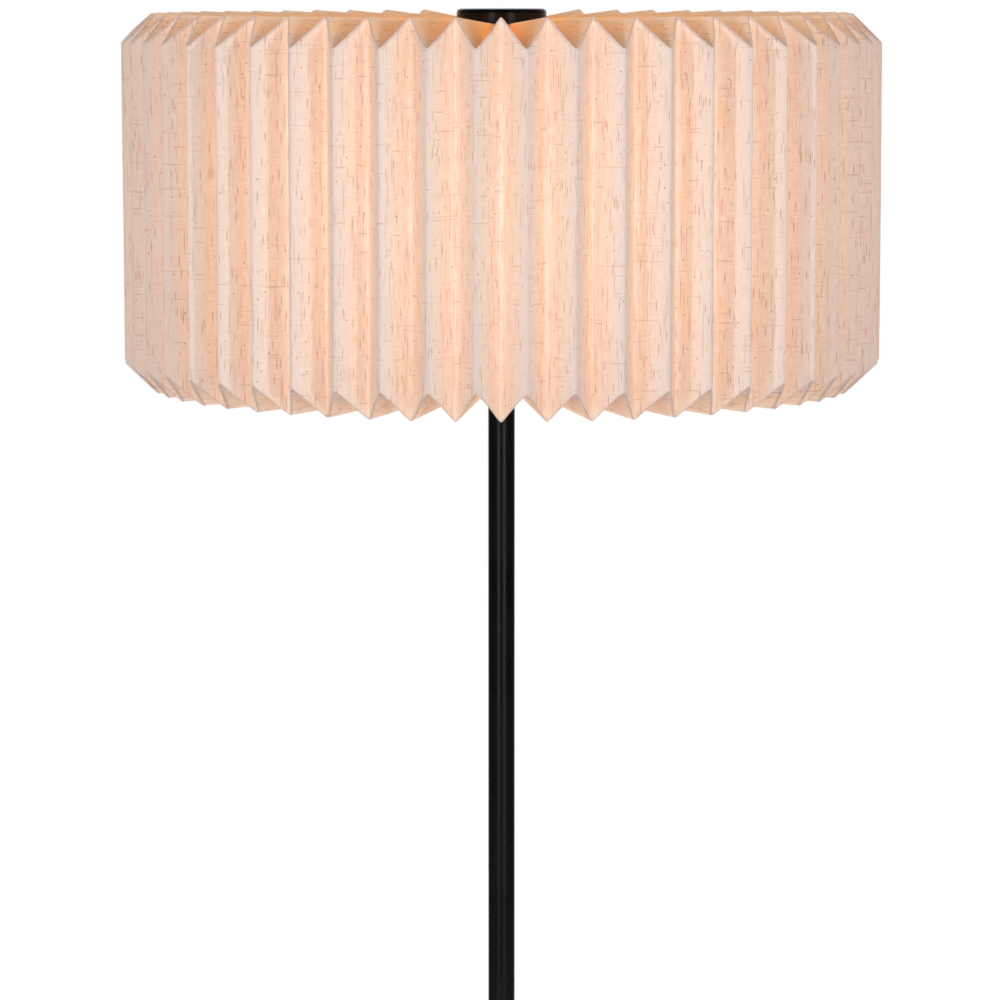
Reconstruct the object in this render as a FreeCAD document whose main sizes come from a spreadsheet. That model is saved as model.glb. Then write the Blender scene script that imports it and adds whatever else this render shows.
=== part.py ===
import FreeCAD, Part
import math
import os
import Sketcher

# Paper lantern floor lamp: a pleated paper drum on a harp over a bulb, on a three-section
# tube stand with a weighted round base. Origin at the middle of the base's underside,
# +Z up, the front towards -Y. Millimetres throughout.

Vector = FreeCAD.Vector
UP = Vector(0, 0, 1)
FRONT = Vector(0, -1, 0)
BACK = Vector(0, 1, 0)

os.makedirs("parts", exist_ok=True)
doc = FreeCAD.newDocument("paper_lantern_floor_lamp")

DIMENSIONS = {
    # whole lamp: floor to the top of the cap, and the clearance kept between soft and hard pieces
    "overall_height": 1500,
    "fit_gap": 0.05,
    # base, from the floor up
    "pad_radius": 136,
    "pad_thickness": 2,
    "cover_radius": 140,
    "cover_height": 23,
    "cover_wall": 1.5,
    "cover_edge": 8,
    "weight_radius": 120,
    "weight_height": 18,
    "weight_boss_radius": 30,
    "well_radius": 22,
    "well_depth": 17,
    "channel_width": 9,
    "channel_depth": 10,
    "base_washer_radius": 12,
    "base_washer_thickness": 1.6,
    "lock_nut_corner": 9.8,
    "lock_nut_thickness": 3.5,
    # hollow threaded nipples, modelled at their outside diameter
    "nipple_radius": 5,
    "nipple_bore": 3.5,
    "base_nipple_length": 27.6,
    "holder_nipple_length": 23.5,
    # cord gland in the rear of the base's rim
    "gland_height": 9,
    "gland_neck": 5,
    "gland_flange": 6.5,
    "gland_bore": 3.1,
    "gland_outer_lip": 2.5,
    "gland_inner_lip": 3.8,
    # pole of 16 mm tube in three sections
    "pole_radius": 8,
    "pole_wall": 1,
    "lower_joint_height": 450,
    "upper_joint_height": 880,
    "bush_length": 18,
    "joint_stud_radius": 5.5,
    "joint_stud_length": 16,
    "collar_radius": 17,
    "collar_height": 6,
    "collar_bevel": 3,
    # lead inside the stand
    "lead_radius": 2.25,
    "lead_run_height": 5.6,
    "lead_start": 132,
    "lead_slope_start": 104,
    "lead_slope_end": 72,
    "lead_top_rise": 6,
    "lead_foot_bend": 7.5,
    "lead_long_bend": 60,
    "core_radius": 1,
    "core_offset": 1.1,
    "core_start": 6,
    "core_turn_level": 9.8,
    "core_top": 15,
    "core_bend": 2.2,
    "core_gap": 0.3,
    # lampholder, its base below the shade's top
    "holder_drop": 215,
    "holder_cap_radius": 17.5,
    "holder_cap_height": 14,
    "holder_cap_wall": 1.2,
    "holder_boss_radius": 8,
    "holder_boss_height": 8,
    "holder_boss_foot": 9,
    "holder_web": 0.6,
    "holder_floor": 2.4,
    "holder_nipple_reach": 7.5,
    "holder_shell_radius": 16.2,
    "holder_shell_wall": 0.4,
    "holder_shell_bottom": 9,
    "holder_shell_top": 57,
    "holder_liner_wall": 0.7,
    "holder_liner_step": 1,
    "holder_body_radius": 12.5,
    "holder_body_bottom": 12,
    "holder_body_flange": 14.2,
    "holder_flange_thickness": 2,
    "holder_body_top": 22,
    "screw_shell_bore": 13.25,
    "screw_shell_wall": 0.45,
    "screw_shell_length": 25,
    "contact_radius": 5,
    "contact_thickness": 1.4,
    "terminal_height": 17.5,
    "terminal_head_radius": 2.3,
    "terminal_head_height": 1.8,
    "terminal_shank_radius": 1.5,
    "terminal_shank_length": 5,
    # turn switch on the lampholder
    "switch_height": 18,
    "switch_shaft_radius": 2,
    "switch_shaft_inner": 6,
    "switch_socket_play": 0.5,
    "switch_hole_play": 0.6,
    "knob_start": 22,
    "knob_length": 15,
    "knob_radius": 6,
    "knob_bevel": 1.5,
    "knob_flutes": 12,
    "knob_flute_radius": 0.9,
    # harp: saddle under the lampholder, wire loop, sliding ferrules
    "saddle_thickness": 2,
    "saddle_width": 12,
    "saddle_arm_height": 10,
    "saddle_post_height": 10,
    "saddle_post_root": 1,
    "harp_foot": 30,
    "harp_half_width": 57,
    "harp_wire": 2,
    "harp_foot_length": 27,
    "harp_shoulder_bend": 20,
    "harp_top_bend": 36,
    "harp_top_drop": 43.5,
    "harp_boss_radius": 7,
    "harp_boss_height": 5,
    "ferrule_radius": 4,
    "ferrule_length": 14,
    "ferrule_overlap": 6,
    # swivel stud on top of the harp
    "stud_radius": 3,
    "stud_top_drop": 0.9,
    "stud_bevel": 0.6,
    "stud_seat_radius": 9,
    "stud_seat_thickness": 3,
    "stud_pin_radius": 2.5,
    "stud_rivet_radius": 4.5,
    "stud_rivet_height": 1.9,
    # shade: folds counted round the drum, heights down from its top
    "pleats": 52,
    "shade_radius": 225,
    "fold_depth": 17,
    "shade_height": 221.7,
    "crease_drop": 16.6,
    "hub_hole_radius": 26.5,
    "hub_fold_drop": 6.5,
    "hub_fold_height": 21.4,
    "mouth_radius": 90,
    "mouth_rise": 2.4,
    "mouth_fold_height": 20.7,
    "paper_thickness": 0.35,
    "hub_edge_thickness": 2.8,
    "mouth_ring_wire": 1.5,
    "mouth_ring_gap": 0.7,
    "mouth_ring_drop": 209,
    # hub that carries the paper
    "hub_radius": 26.2,
    "hub_bore": 3.3,
    "hub_wall": 4.2,
    "hub_core_radius": 8,
    "hub_floor": 2.5,
    "hub_flange_radius": 34,
    "hub_flange_thickness": 2,
    "hub_flange_drop": 32,
    "hub_foot_radius": 10,
    "hub_foot_drop": 37.8,
    "hub_lid_drop": 6.3,
    "hub_lid_thickness": 0.7,
    "hub_lid_spigot": 4,
    "hub_lid_rim": 1.2,
    "hub_lid_radius": 26,
    # cap that screws on the stud
    "cap_radius": 26.6,
    "cap_height": 8.6,
    "cap_proud": 2.5,
    "cap_edge": 2.2,
    "cap_recess_radius": 21,
    "cap_recess_depth": 0.7,
    "insert_radius": 7,
    "insert_length": 5,
    "cap_washer_radius": 20,
    "cap_washer_hole": 7.5,
    "cap_washer_thickness": 0.6,
    # bulb, heights up from its contact
    "bulb_drop": 190,
    "bulb_length": 110,
    "bulb_radius": 30,
    "bulb_neck_radius": 12.4,
    "bulb_neck_start": 18,
    "bulb_neck_end": 32,
    "bulb_neck_bend": 25,
    "bulb_glass_wall": 0.8,
    "bulb_cap_radius": 12.95,
    "bulb_cap_wall": 0.35,
    "bulb_cap_start": 3,
    "bulb_cap_end": 25,
    "bulb_insulator_start": 0.8,
    "bulb_insulator_radius": 11,
    "bulb_insulator_lip": 1.5,
    "bulb_contact_radius": 4.5,
    "bulb_contact_crown": 1.5,
    "bulb_stem_radius": 4,
    "bulb_stem_foot": 19,
    "bulb_stem_tip": 2.4,
    "bulb_stem_top": 76,
    "filament_count": 4,
    "filament_radius": 0.9,
    "filament_length": 34,
    "filament_circle": 9,
    "filament_base": 40,
    "filament_arm": 0.5,
}

sheet = doc.addObject("Spreadsheet::Sheet", "Dims")
for row, (alias, plain_number) in enumerate(DIMENSIONS.items(), start=1):
    sheet.set(f"A{row}", alias)
    sheet.set(f"B{row}", str(plain_number))
    sheet.setAlias(f"B{row}", alias)
doc.recompute()


class Size:
    """A length worked out from the sheet: its number, and the formula that binds it."""

    def __init__(self, number, formula):
        self.number = number
        self.formula = formula

    def joined(self, sign, other, number):
        return Size(number, f"({self.formula} {sign} {formula_of(other)})")

    def __add__(self, other):
        return self.joined("+", other, self.number + number_of(other))

    def __sub__(self, other):
        return self.joined("-", other, self.number - number_of(other))

    def __mul__(self, other):
        return self.joined("*", other, self.number * number_of(other))

    def __truediv__(self, other):
        return self.joined("/", other, self.number / number_of(other))

    def __neg__(self):
        return self * -1


def number_of(size):
    return size.number if isinstance(size, Size) else float(size)


def formula_of(size):
    return size.formula if isinstance(size, Size) else str(size)


def dim(alias):
    return Size(float(sheet.get(alias)), f"Dims.{alias}")


def bind(piece, path, size):
    """Sets a property and keeps it bound to the sheet."""
    if isinstance(size, Size):
        piece.setExpression(path, size.formula)
    else:
        setattr(piece, path, size)


def place(piece, x=0, y=0, z=0):
    for letter, size in zip("xyz", (x, y, z)):
        if isinstance(size, Size):
            piece.setExpression(f"Placement.Base.{letter}", size.formula)


def plane_of(body, role):
    return next(feature for feature in body.Origin.OriginFeatures if feature.Role == role)


def start_sketch(body, name, role):
    sketch = body.newObject("Sketcher::SketchObject", name)
    sketch.AttachmentSupport = (plane_of(body, role), [""])
    sketch.MapMode = "FlatFace"
    return sketch


def hold(sketch, kind, line, point, size):
    """Holds one coordinate of a sketch point to a length."""
    index = sketch.addConstraint(Sketcher.Constraint(kind, line, point, number_of(size)))
    if isinstance(size, Size):
        sketch.setExpression(f"Constraints[{index}]", size.formula)


def draw_outline(sketch, outline):
    """A closed outline of straight lines, each corner held to the sheet."""
    corners = [Vector(number_of(x), number_of(y), 0) for x, y in outline]
    count = len(corners)
    for line in range(count):
        side = Part.LineSegment(corners[line], corners[(line + 1) % count])
        sketch.addGeometry(side, False)
    for line in range(count):
        meeting = Sketcher.Constraint("Coincident", line, 2, (line + 1) % count, 1)
        sketch.addConstraint(meeting)
    for line, (x, y) in enumerate(outline):
        hold(sketch, "DistanceX", line, 1, x)
        hold(sketch, "DistanceY", line, 1, y)


def turned(label, level, outline):
    """A piece turned about Z from a closed outline of (radius, height above level)."""
    body = doc.addObject("PartDesign::Body", label)
    sketch = start_sketch(body, label + "_outline", "XZ_Plane")
    draw_outline(sketch, outline)
    lathe = body.newObject("PartDesign::Revolution", label + "_turned")
    lathe.Profile = sketch
    lathe.ReferenceAxis = (sketch, ["V_Axis"])
    lathe.Angle = 360
    place(body, z=level)
    return body


def ring(label, level, outer, bore, height):
    return turned(label, level, [(bore, 0), (outer, 0), (outer, height), (bore, height)])


def round_edge(body, name, feature_type, size, radius, height):
    """Rounds or bevels the turned edge that runs at this radius and height above the body's foot."""
    doc.recompute()
    base = body.Tip
    names = []
    for index, edge in enumerate(base.Shape.Edges, start=1):
        box = edge.BoundBox
        level = abs(box.ZMax - height.number) < 1e-3 and abs(box.ZMin - height.number) < 1e-3
        if level and abs(box.XMax - radius.number) < 1e-3:
            names.append(f"Edge{index}")
    assert names, f"{name}: no edge at this radius and height"
    feature = body.newObject(feature_type, name)
    feature.Base = (base, names)
    bind(feature, "Radius" if feature_type == "PartDesign::Fillet" else "Size", size)
    return feature


def cross_hole(body, name, radius, height, toward_front):
    """Drills through the wall on one side, along Y, and checks that material went."""
    doc.recompute()
    before = body.Tip.Shape.Volume
    sketch = start_sketch(body, name + "_circle", "XZ_Plane")
    centre = Vector(0, height.number, 0)
    sketch.addGeometry(Part.Circle(centre, UP, radius.number), False)
    hold(sketch, "DistanceX", 0, 3, 0)
    hold(sketch, "DistanceY", 0, 3, height)
    index = sketch.addConstraint(Sketcher.Constraint("Radius", 0, radius.number))
    sketch.setExpression(f"Constraints[{index}]", radius.formula)
    pocket = body.newObject("PartDesign::Pocket", name)
    pocket.Profile = sketch
    pocket.Type = "ThroughAll"
    pocket.Reversed = toward_front
    doc.recompute()
    assert body.Tip.Shape.Volume < before - 1e-3, f"{name}: nothing was cut"
    return pocket


def cylinder(label, radius, length, at=(0, 0, 0), axis=UP):
    piece = doc.addObject("Part::Cylinder", label)
    bind(piece, "Radius", radius)
    bind(piece, "Height", length)
    piece.Placement = FreeCAD.Placement(Vector(0, 0, 0), FreeCAD.Rotation(UP, axis))
    place(piece, *at)
    return piece


def block(label, length, width, height, at=(0, 0, 0)):
    piece = doc.addObject("Part::Box", label)
    bind(piece, "Length", length)
    bind(piece, "Width", width)
    bind(piece, "Height", height)
    place(piece, *at)
    return piece


def cut(label, base, tool):
    piece = doc.addObject("Part::Cut", label)
    piece.Base = base
    piece.Tool = tool
    return piece


def fuse(label, pieces):
    piece = doc.addObject("Part::MultiFuse", label)
    piece.Shapes = pieces
    piece.Refine = True
    return piece


def group(label, pieces):
    """One node of several separate, like solids."""
    piece = doc.addObject("Part::Compound", label)
    piece.Links = pieces
    return piece


def shaped(label, shape, level):
    """A piece whose shape is worked out in code about its own foot, then placed."""
    piece = doc.addObject("Part::Feature", label)
    piece.Shape = shape
    place(piece, z=level)
    return piece


def bent_path(points, radii):
    """Straight runs joined by tangent arcs: one radius for each inner point."""
    edges = []
    start = points[0]
    for before, corner, after, radius in zip(points, points[1:], points[2:], radii):
        back = (before - corner).normalize()
        ahead = (after - corner).normalize()
        half_turn = (math.pi - back.getAngle(ahead)) / 2
        reach = radius * math.tan(half_turn)
        arc_start = corner + back * reach
        arc_end = corner + ahead * reach
        inward = (back + ahead).normalize()
        arc_middle = corner + inward * (radius / math.cos(half_turn) - radius)
        edges.append(Part.LineSegment(start, arc_start).toShape())
        edges.append(Part.Arc(arc_start, arc_middle, arc_end).toShape())
        start = arc_end
    edges.append(Part.LineSegment(start, points[-1]).toShape())
    return Part.Wire(edges)


def round_bar(points, radii, bar_radius, name):
    """A round bar along a bent path, its volume checked against section times length."""
    path = bent_path(points, radii)
    section = Part.Wire(Part.makeCircle(bar_radius, points[0], points[1] - points[0]))
    bar = path.makePipeShell([section], True, False, 0)
    expected = math.pi * bar_radius**2 * path.Length
    assert abs(bar.Volume / expected - 1) < 0.01, f"{name}: volume is off"
    print(name, "length", round(path.Length, 1), "bends", radii)
    return bar


# Levels that several pieces share
SHADE_TOP = dim("overall_height") - dim("cap_proud")
HOLDER_LEVEL = SHADE_TOP - dim("holder_drop")
SADDLE_LEVEL = HOLDER_LEVEL - dim("saddle_thickness")
COVER_TOP = dim("pad_thickness") + dim("cover_height")
TUBE_BORE = dim("pole_radius") - dim("pole_wall")
BUSH_RADIUS = TUBE_BORE - dim("fit_gap")
NIPPLE_FIT = dim("nipple_radius") + dim("fit_gap")
BULB_LEVEL = SHADE_TOP - dim("bulb_drop")


def base_pieces():
    """Pad, weight, cover and the nipple, washer and nut that clamp them to the pole."""
    pad = turned(
        "base_pad",
        0,
        [
            (0, 0),
            (dim("pad_radius"), 0),
            (dim("pad_radius"), dim("pad_thickness")),
            (0, dim("pad_thickness")),
        ],
    )

    clear_hole = dim("nipple_radius") + dim("fit_gap") * 4
    boss_top = dim("cover_height") - dim("cover_wall")
    casting = turned(
        "weight_casting",
        dim("pad_thickness"),
        [
            (dim("well_radius"), 0),
            (dim("weight_radius"), 0),
            (dim("weight_radius"), dim("weight_height")),
            (dim("weight_boss_radius"), dim("weight_height")),
            (dim("weight_boss_radius"), boss_top),
            (clear_hole, boss_top),
            (clear_hole, dim("well_depth")),
            (dim("well_radius"), dim("well_depth")),
        ],
    )
    channel = block(
        "lead_channel",
        dim("channel_width"),
        dim("weight_radius"),
        dim("channel_depth"),
        at=(-dim("channel_width") / 2, dim("lead_radius"), dim("pad_thickness")),
    )
    weight = cut("base_weight", casting, channel)

    wall_radius = dim("cover_radius") - dim("cover_wall")
    cover = turned(
        "base_cover",
        dim("pad_thickness"),
        [
            (wall_radius, 0),
            (dim("cover_radius"), 0),
            (dim("cover_radius"), dim("cover_height")),
            (clear_hole, dim("cover_height")),
            (clear_hole, boss_top),
            (wall_radius, boss_top),
        ],
    )
    round_edge(
        cover,
        "cover_outer_edge",
        "PartDesign::Fillet",
        dim("cover_edge"),
        dim("cover_radius"),
        dim("cover_height"),
    )
    round_edge(
        cover,
        "cover_inner_edge",
        "PartDesign::Fillet",
        dim("cover_edge") - dim("cover_wall"),
        wall_radius,
        boss_top,
    )
    cross_hole(
        cover,
        "cover_gland_hole",
        dim("gland_neck") + dim("fit_gap"),
        dim("gland_height") - dim("pad_thickness"),
        toward_front=False,
    )

    well_top = dim("pad_thickness") + dim("well_depth")
    washer_level = well_top - dim("base_washer_thickness")
    washer = ring(
        "base_washer",
        washer_level,
        dim("base_washer_radius"),
        clear_hole,
        dim("base_washer_thickness"),
    )
    nut_level = washer_level - dim("lock_nut_thickness")
    hexagon = doc.addObject("Part::Prism", "lock_nut_blank")
    hexagon.Polygon = 6
    bind(hexagon, "Circumradius", dim("lock_nut_corner"))
    bind(hexagon, "Height", dim("lock_nut_thickness"))
    place(hexagon, z=nut_level)
    nut_bore = cylinder("lock_nut_bore", NIPPLE_FIT, dim("lock_nut_thickness"), at=(0, 0, nut_level))
    nut = cut("base_lock_nut", hexagon, nut_bore)
    nipple = ring(
        "base_nipple",
        nut_level - dim("fit_gap") * 10,
        dim("nipple_radius"),
        dim("nipple_bore"),
        dim("base_nipple_length"),
    )
    return [pad, weight, cover, washer, nut, nipple]


def cord_gland():
    """Moulded grommet with a lip on each side of the cover's wall, bored for the cord."""
    rim = dim("cover_radius")
    wall_back = rim - dim("cover_wall") - dim("fit_gap") * 4
    inner_face = wall_back - dim("gland_inner_lip")
    outer_face = rim + dim("gland_outer_lip")
    level = dim("gland_height")
    neck = cylinder(
        "gland_neck_blank",
        dim("gland_neck"),
        outer_face - inner_face,
        at=(0, inner_face, level),
        axis=BACK,
    )
    inner_lip = cylinder(
        "gland_inner_lip_blank",
        dim("gland_flange"),
        dim("gland_inner_lip"),
        at=(0, inner_face, level),
        axis=BACK,
    )
    outer_lip = cylinder(
        "gland_outer_lip_blank",
        dim("gland_flange"),
        dim("gland_outer_lip"),
        at=(0, rim, level),
        axis=BACK,
    )
    blank = fuse("gland_blank", [neck, inner_lip, outer_lip])
    bore = cylinder(
        "gland_bore_tool",
        dim("gland_bore"),
        outer_face - inner_face,
        at=(0, inner_face, level),
        axis=BACK,
    )
    return [cut("cord_gland", blank, bore)]


def pole_pieces():
    """Three tubes, the bushes and studs that join them, and the collar at the foot."""
    lower_joint = dim("lower_joint_height")
    upper_joint = dim("upper_joint_height")
    spans = [
        ("pole_lower", COVER_TOP, lower_joint),
        ("pole_middle", lower_joint, upper_joint),
        ("pole_upper", upper_joint, SADDLE_LEVEL),
    ]
    tubes = [ring(label, foot, dim("pole_radius"), TUBE_BORE, top - foot) for label, foot, top in spans]

    collar_radius = dim("collar_radius")
    collar_bore = dim("pole_radius") + dim("fit_gap")
    collar = ring("pole_collar", COVER_TOP, collar_radius, collar_bore, dim("collar_height"))
    round_edge(
        collar,
        "collar_bevel",
        "PartDesign::Chamfer",
        dim("collar_bevel"),
        collar_radius,
        dim("collar_height"),
    )

    foot_bush = ring("pole_foot_bush", COVER_TOP, BUSH_RADIUS, NIPPLE_FIT, dim("bush_length"))
    top_bush = ring(
        "pole_top_bush",
        SADDLE_LEVEL - dim("bush_length"),
        BUSH_RADIUS,
        NIPPLE_FIT,
        dim("bush_length"),
    )

    studs = []
    bushes = []
    for name, joint in (("lower", lower_joint), ("upper", upper_joint)):
        stud = turned(
            f"{name}_joint_stud",
            joint - dim("bush_length"),
            [
                (dim("nipple_bore"), 0),
                (BUSH_RADIUS, 0),
                (BUSH_RADIUS, dim("bush_length")),
                (dim("joint_stud_radius"), dim("bush_length")),
                (dim("joint_stud_radius"), dim("bush_length") + dim("joint_stud_length")),
                (dim("nipple_bore"), dim("bush_length") + dim("joint_stud_length")),
            ],
        )
        studs.append(stud)
        bush_bore = dim("joint_stud_radius") + dim("fit_gap")
        bushes.append(ring(f"{name}_joint_bush", joint, BUSH_RADIUS, bush_bore, dim("bush_length")))
    return tubes + [
        collar,
        foot_bush,
        top_bush,
        group("pole_joint_studs", studs),
        group("pole_joint_bushes", bushes),
    ]


def lead_pieces():
    """The lead from behind the gland, under the weight and up the pole, and its two cores."""
    run = dim("lead_run_height").number
    top = (HOLDER_LEVEL + dim("lead_top_rise")).number
    route = [
        Vector(0, dim("lead_start").number, dim("gland_height").number),
        Vector(0, dim("lead_slope_start").number, dim("gland_height").number),
        Vector(0, dim("lead_slope_end").number, run),
        Vector(0, 0, run),
        Vector(0, 0, top),
    ]
    long_bend = dim("lead_long_bend").number
    bends = [long_bend, long_bend, dim("lead_foot_bend").number]
    lead = shaped("inner_lead", round_bar(route, bends, dim("lead_radius").number, "inner_lead"), 0)

    cores = []
    core_radius = dim("core_radius").number
    core_bend = dim("core_bend").number
    offset = dim("core_offset").number
    turn_level = dim("core_turn_level").number
    climb = (dim("holder_body_radius") + dim("core_radius") + dim("core_gap")).number
    for name, side in (("left", -1), ("right", 1)):
        core_route = [
            Vector(side * offset, 0, dim("core_start").number),
            Vector(side * offset, 0, turn_level),
            Vector(side * climb, 0, turn_level),
            Vector(side * climb, 0, dim("core_top").number),
        ]
        bar = round_bar(core_route, [core_bend, core_bend], core_radius, f"{name}_core")
        cores.append(shaped(f"{name}_core", bar, HOLDER_LEVEL))
    return [lead, group("lead_cores", cores)]


def holder_pieces():
    """Lampholder: nipple, cap, shell, liner, insulating body, screw shell, contact, screws."""
    nipple = ring(
        "holder_nipple",
        HOLDER_LEVEL + dim("holder_nipple_reach") - dim("holder_nipple_length"),
        dim("nipple_radius"),
        dim("nipple_bore"),
        dim("holder_nipple_length"),
    )

    cap_radius = dim("holder_cap_radius")
    cap_bore = cap_radius - dim("holder_cap_wall")
    boss_radius = dim("holder_boss_radius")
    shoulder = dim("holder_boss_height")
    web = dim("holder_web")
    cap_floor = dim("holder_floor")
    cap = turned(
        "holder_cap",
        HOLDER_LEVEL,
        [
            (NIPPLE_FIT, 0),
            (dim("holder_boss_foot"), 0),
            (cap_radius, shoulder),
            (cap_radius, dim("holder_cap_height")),
            (cap_bore, dim("holder_cap_height")),
            (cap_bore, shoulder + web),
            (dim("holder_boss_foot") + web, cap_floor),
            (boss_radius, cap_floor),
            (boss_radius, shoulder),
            (NIPPLE_FIT, shoulder),
        ],
    )

    shell_radius = dim("holder_shell_radius")
    shell_bore = shell_radius - dim("holder_shell_wall")
    shell_length = dim("holder_shell_top") - dim("holder_shell_bottom")
    shell_level = HOLDER_LEVEL + dim("holder_shell_bottom")
    slot_height = dim("switch_height") - dim("holder_shell_bottom")
    slot_radius = dim("switch_shaft_radius") + dim("switch_hole_play")
    shell = ring("holder_shell", shell_level, shell_radius, shell_bore, shell_length)
    cross_hole(shell, "shell_switch_hole", slot_radius, slot_height, toward_front=True)
    liner_radius = shell_bore - dim("fit_gap")
    liner_bore = liner_radius - dim("holder_liner_wall")
    liner_length = shell_length - dim("holder_liner_step")
    liner = ring("holder_liner", shell_level, liner_radius, liner_bore, liner_length)
    cross_hole(liner, "liner_switch_hole", slot_radius, slot_height, toward_front=True)

    body_bottom = dim("holder_body_bottom")
    body_top = dim("holder_body_top")
    body_height = body_top - body_bottom
    block_radius = dim("holder_body_radius")
    flange_foot = body_height - dim("holder_flange_thickness")
    insulator = turned(
        "holder_insulator",
        HOLDER_LEVEL + body_bottom,
        [
            (0, 0),
            (block_radius, 0),
            (block_radius, flange_foot),
            (dim("holder_body_flange"), flange_foot),
            (dim("holder_body_flange"), body_height),
            (0, body_height),
        ],
    )
    shaft_socket = cylinder(
        "switch_socket",
        dim("switch_shaft_radius") + dim("fit_gap"),
        block_radius,
        at=(0, dim("switch_socket_play") - dim("switch_shaft_inner"), HOLDER_LEVEL + dim("switch_height")),
        axis=FRONT,
    )
    screw_level = HOLDER_LEVEL + dim("terminal_height")
    screw_sockets = []
    screws = []
    for name, side in (("left", -1), ("right", 1)):
        outward = Vector(side, 0, 0)
        shank_start = (block_radius - dim("terminal_shank_length")) * side
        screw_sockets.append(
            cylinder(
                f"{name}_screw_socket",
                dim("terminal_shank_radius"),
                dim("terminal_shank_length"),
                at=(shank_start, 0, screw_level),
                axis=outward,
            )
        )
        shank = cylinder(
            f"{name}_screw_shank",
            dim("terminal_shank_radius") - dim("fit_gap"),
            dim("terminal_shank_length"),
            at=(shank_start, 0, screw_level),
            axis=outward,
        )
        head = cylinder(
            f"{name}_screw_head",
            dim("terminal_head_radius"),
            dim("terminal_head_height"),
            at=(block_radius * side, 0, screw_level),
            axis=outward,
        )
        screws.append(fuse(f"{name}_terminal_screw", [shank, head]))
    sockets = fuse("holder_body_holes", [shaft_socket] + screw_sockets)
    insulating_body = cut("holder_body", insulator, sockets)

    screw_shell = ring(
        "holder_screw_shell",
        HOLDER_LEVEL + body_top,
        dim("screw_shell_bore") + dim("screw_shell_wall"),
        dim("screw_shell_bore"),
        dim("screw_shell_length"),
    )
    contact = turned(
        "holder_contact",
        HOLDER_LEVEL + body_top,
        [
            (0, 0),
            (dim("contact_radius"), 0),
            (dim("contact_radius"), dim("contact_thickness")),
            (0, dim("contact_thickness") * 2),
        ],
    )
    return [
        nipple,
        cap,
        shell,
        liner,
        insulating_body,
        screw_shell,
        contact,
        group("terminal_screws", screws),
    ]


def switch_knob():
    """Shaft into the lampholder with a fluted knob on its outer end, along -Y."""
    body = doc.addObject("PartDesign::Body", "switch_knob")
    outline = start_sketch(body, "knob_outline", "XZ_Plane")
    shaft = dim("switch_shaft_radius")
    start = dim("switch_shaft_inner")
    knob = dim("knob_start")
    end = knob + dim("knob_length")
    bevel = dim("knob_bevel")
    draw_outline(
        outline,
        [
            (0, start),
            (shaft, start),
            (shaft, knob),
            (dim("knob_radius"), knob),
            (dim("knob_radius"), end - bevel),
            (dim("knob_radius") - bevel, end),
            (0, end),
        ],
    )
    turned_knob = body.newObject("PartDesign::Revolution", "knob_turned")
    turned_knob.Profile = outline
    turned_knob.ReferenceAxis = (outline, ["V_Axis"])
    turned_knob.Angle = 360
    doc.recompute()
    before = body.Tip.Shape.Volume

    flute_sketch = start_sketch(body, "knob_flute_circle", "XY_Plane")
    flute_centre = Vector(dim("knob_radius").number, 0, 0)
    flute_radius = dim("knob_flute_radius")
    flute_sketch.addGeometry(Part.Circle(flute_centre, UP, flute_radius.number), False)
    hold(flute_sketch, "DistanceX", 0, 3, dim("knob_radius"))
    hold(flute_sketch, "DistanceY", 0, 3, 0)
    index = flute_sketch.addConstraint(Sketcher.Constraint("Radius", 0, flute_radius.number))
    flute_sketch.setExpression(f"Constraints[{index}]", flute_radius.formula)
    flute = body.newObject("PartDesign::Pocket", "knob_flute")
    flute.Profile = flute_sketch
    flute.Type = "ThroughAll"
    flute.Reversed = True
    doc.recompute()
    flutes = body.newObject("PartDesign::PolarPattern", "knob_flutes")
    flutes.Originals = [flute]
    flutes.Axis = (plane_of(body, "Z_Axis"), [""])
    flutes.Angle = 360
    bind(flutes, "Occurrences", int(dim("knob_flutes").number))
    body.Tip = flutes
    doc.recompute()
    assert body.Tip.Shape.Volume < before - 1, "knob flutes: nothing was cut"
    body.Placement = FreeCAD.Placement(Vector(0, 0, 0), FreeCAD.Rotation(UP, FRONT))
    place(body, z=HOLDER_LEVEL + dim("switch_height"))
    return [body]


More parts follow.
